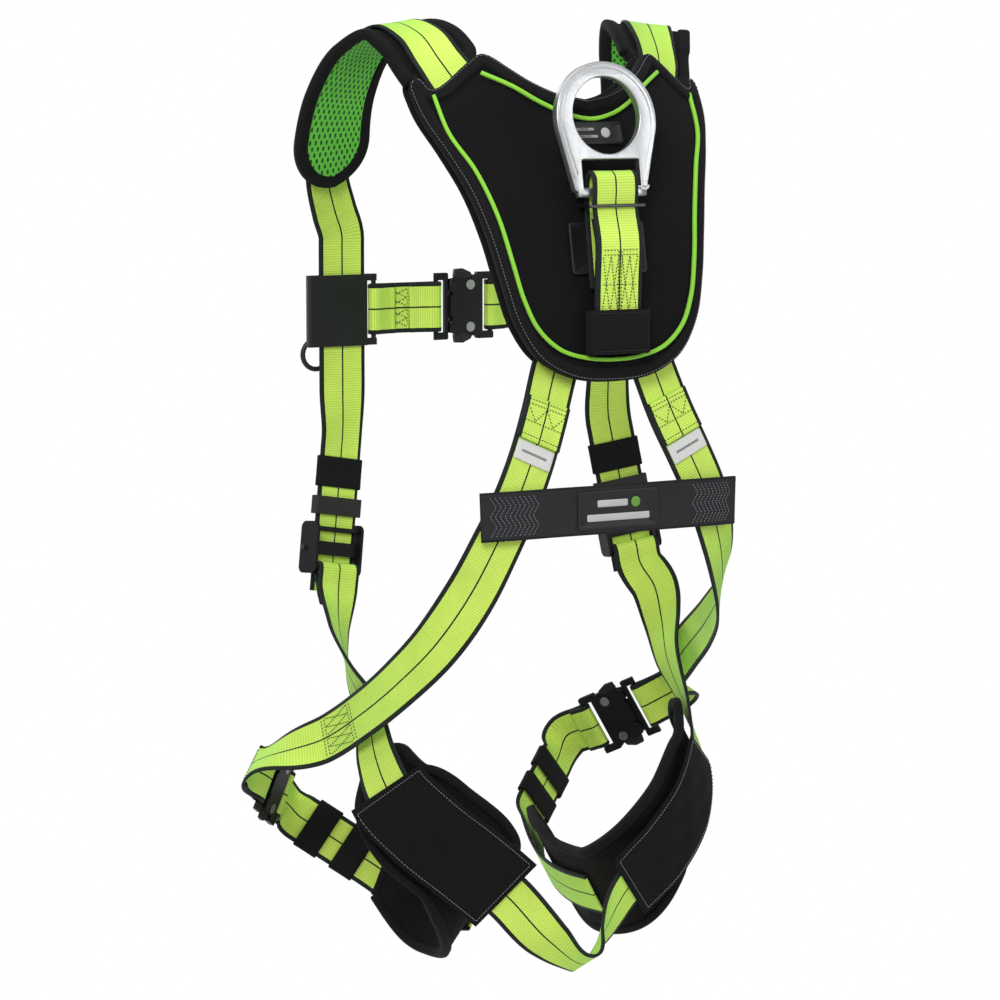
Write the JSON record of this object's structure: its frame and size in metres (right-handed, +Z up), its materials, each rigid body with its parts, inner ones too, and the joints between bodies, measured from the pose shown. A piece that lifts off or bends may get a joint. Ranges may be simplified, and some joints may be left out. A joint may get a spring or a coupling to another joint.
{
  "type": "full body fall arrest harness",
  "caption": "Full-body fall arrest harness of lime webbing with black back, shoulder and leg pads, dorsal ring, quick-connect buckles and torso adjusters.",
  "frame": {"origin": "on the mid-plane at the base of the wearer's neck, level with the undersides of the two shoulder pads at their crowns", "axes": "+X to the wearer's left, +Y out of the wearer's back, +Z up; the wearer faces -Y"},
  "size_m": [0.4787, 0.3683, 0.8336],
  "materials": {
    "webbing_lime": "woven, ribbed",
    "webbing_black": "woven, ribbed",
    "pad_black": "knitted mesh, matt",
    "mesh_green": "open spacer mesh",
    "piping_lime": "satin",
    "label_white": "matt",
    "badge_rubber": "matt",
    "ring_steel": "bright zinc, satin",
    "link_steel": "dark, satin",
    "rivet_steel": "satin",
    "black_metal": "black powder coat",
    "lever_metal": "black powder coat",
    "frame_metal": "dark coat",
    "cam_metal": "dark coat",
    "plastic_black": "matt"
  },
  "bodies": {
    "harness": {"back_pad": "pad_black", "back_lining": "mesh_green", "back_piping": "piping_lime", "left_shoulder_web": "webbing_lime", "right_shoulder_web": "webbing_lime", "left_shoulder_pad": "pad_black", "right_shoulder_pad": "pad_black", "left_hip_web": "webbing_lime", "right_hip_web": "webbing_lime", "load_pleats": "webbing_lime", "load_labels": "label_white", "cross_band": "webbing_black", "band_label": "badge_rubber", "sub_pelvic_web": "webbing_lime", "left_adjuster_frame": "frame_metal", "right_adjuster_frame": "frame_metal", "left_leg_tongue": "black_metal", "right_leg_tongue": "black_metal", "left_leg_web": "webbing_lime", "right_leg_web": "webbing_lime", "left_leg_pad": "pad_black", "right_leg_pad": "pad_black", "leg_sleeves": "pad_black", "dorsal_web": "webbing_lime", "dorsal_link": "link_steel", "web_retainer": "webbing_black", "back_patch": "badge_rubber", "dorsal_tag": "badge_rubber", "torso_clips": "plastic_black"},
    "ring": {"dorsal_ring": "ring_steel"},
    "chest": {"left_chest_slider": "plastic_black", "right_chest_slider": "plastic_black", "left_chest_web": "webbing_lime", "right_chest_web": "webbing_lime", "chest_tongue": "black_metal"},
    "left_leg_catch": {"left_leg_socket": "black_metal", "left_leg_rivets": "rivet_steel", "left_leg_socket_loop": "webbing_lime"},
    "left_leg_upper_release": {"left_leg_upper_lever": "lever_metal"},
    "left_leg_lower_release": {"left_leg_lower_lever": "lever_metal"},
    "right_leg_catch": {"right_leg_socket": "black_metal", "right_leg_rivets": "rivet_steel", "right_leg_socket_loop": "webbing_lime"},
    "right_leg_upper_release": {"right_leg_upper_lever": "lever_metal"},
    "right_leg_lower_release": {"right_leg_lower_lever": "lever_metal"},
    "chest_catch": {"chest_socket": "black_metal", "chest_rivets": "rivet_steel", "chest_socket_loop": "webbing_lime"},
    "chest_upper_release": {"chest_upper_lever": "lever_metal"},
    "chest_lower_release": {"chest_lower_lever": "lever_metal"},
    "left_cam": {"left_adjuster_cam": "cam_metal"},
    "left_torso_slide": {"left_torso_keeper": "webbing_black"},
    "left_leg_slide_a": {"left_leg_keeper_a": "webbing_black"},
    "left_leg_slide_b": {"left_leg_keeper_b": "webbing_black"},
    "left_lanyard": {"left_lanyard_keeper": "plastic_black"},
    "right_cam": {"right_adjuster_cam": "cam_metal"},
    "right_torso_slide": {"right_torso_keeper": "webbing_black"},
    "right_leg_slide_a": {"right_leg_keeper_a": "webbing_black"},
    "right_leg_slide_b": {"right_leg_keeper_b": "webbing_black"},
    "right_lanyard": {"right_lanyard_keeper": "plastic_black"}
  },
  "joints": [
    {"name": "ring_fold", "type": "hinge", "parent": "harness", "child": "ring", "pos_m": [0, 0.091, -0.131], "axis": [-1, 0, 0], "range_deg": [0, 125]},
    {"name": "chest_height", "type": "slide", "parent": "harness", "child": "chest", "axis": [0, 0, 1], "range_m": [-0.018, 0.018]},
    {"name": "left_leg_unlatch", "type": "slide", "parent": "harness", "child": "left_leg_catch", "axis": [-0.6033, -0.6636, -0.4424], "range_m": [0, 0.0235]},
    {"name": "left_leg_upper_press", "type": "hinge", "parent": "left_leg_catch", "child": "left_leg_upper_release", "pos_m": [0.193, -0.17898, -0.68812], "axis": [-0.6452, 0.7322, -0.2185], "range_deg": [0, 8], "stiffness_Nm_per_rad": 0.03},
    {"name": "left_leg_lower_press", "type": "hinge", "parent": "left_leg_catch", "child": "left_leg_lower_release", "pos_m": [0.17518, -0.18482, -0.65507], "axis": [0.6452, -0.7322, 0.2185], "range_deg": [0, 8], "stiffness_Nm_per_rad": 0.03},
    {"name": "right_leg_unlatch", "type": "slide", "parent": "harness", "child": "right_leg_catch", "axis": [0.5657, -0.7071, -0.4243], "range_m": [0, 0.0235]},
    {"name": "right_leg_upper_press", "type": "hinge", "parent": "right_leg_catch", "child": "right_leg_upper_release", "pos_m": [-0.1728, -0.19452, -0.62532], "axis": [0.6918, 0.687, -0.2226], "range_deg": [0, 8], "stiffness_Nm_per_rad": 0.03},
    {"name": "right_leg_lower_press", "type": "hinge", "parent": "right_leg_catch", "child": "right_leg_lower_release", "pos_m": [-0.18986, -0.18815, -0.65868], "axis": [-0.6918, -0.687, 0.2226], "range_deg": [0, 8], "stiffness_Nm_per_rad": 0.03},
    {"name": "chest_unlatch", "type": "slide", "parent": "chest", "child": "chest_catch", "axis": [-1, 0, 0], "range_m": [0, 0.0235]},
    {"name": "chest_upper_press", "type": "hinge", "parent": "chest_catch", "child": "chest_upper_release", "pos_m": [0.009, -0.139, -0.259], "axis": [0, 1, 0], "range_deg": [0, 8], "stiffness_Nm_per_rad": 0.03},
    {"name": "chest_lower_press", "type": "hinge", "parent": "chest_catch", "child": "chest_lower_release", "pos_m": [0.009, -0.139, -0.221], "axis": [0, -1, 0], "range_deg": [0, 8], "stiffness_Nm_per_rad": 0.03},
    {"name": "left_cam_lift", "type": "hinge", "parent": "harness", "child": "left_cam", "pos_m": [0.15582, -0.13357, -0.45091], "axis": [0.9681, 0.1837, 0.1701], "range_deg": [0, 55], "stiffness_Nm_per_rad": 0.05},
    {"name": "left_torso_keeper_slide", "type": "slide", "parent": "harness", "child": "left_torso_slide", "axis": [0.1511, 0.1133, -0.982], "range_m": [-0.01, 0.007]},
    {"name": "left_leg_keeper_a_slide", "type": "slide", "parent": "harness", "child": "left_leg_slide_a", "axis": [-0.6631, 0.5356, -0.5229], "range_m": [-0.004, 0.004]},
    {"name": "left_leg_keeper_b_slide", "type": "slide", "parent": "harness", "child": "left_leg_slide_b", "axis": [-0.6631, 0.5356, -0.5229], "range_m": [-0.004, 0.004]},
    {"name": "left_lanyard_swing", "type": "hinge", "parent": "chest", "child": "left_lanyard", "pos_m": [0.16, -0.1444, -0.2655], "axis": [-1, 0, 0], "range_deg": [0, 70]},
    {"name": "right_cam_lift", "type": "hinge", "parent": "harness", "child": "right_cam", "pos_m": [-0.15582, -0.13357, -0.45091], "axis": [0.9681, -0.1837, -0.1701], "range_deg": [0, 55], "stiffness_Nm_per_rad": 0.05},
    {"name": "right_torso_keeper_slide", "type": "slide", "parent": "harness", "child": "right_torso_slide", "axis": [-0.1511, 0.1133, -0.982], "range_m": [-0.01, 0.007]},
    {"name": "right_leg_keeper_a_slide", "type": "slide", "parent": "harness", "child": "right_leg_slide_a", "axis": [0.6904, 0.4912, -0.5311], "range_m": [-0.004, 0.004]},
    {"name": "right_leg_keeper_b_slide", "type": "slide", "parent": "harness", "child": "right_leg_slide_b", "axis": [0.6904, 0.4912, -0.5311], "range_m": [-0.004, 0.004]},
    {"name": "right_lanyard_swing", "type": "hinge", "parent": "chest", "child": "right_lanyard", "pos_m": [-0.16, -0.1444, -0.2655], "axis": [-1, 0, 0], "range_deg": [0, 70]}
  ]
}
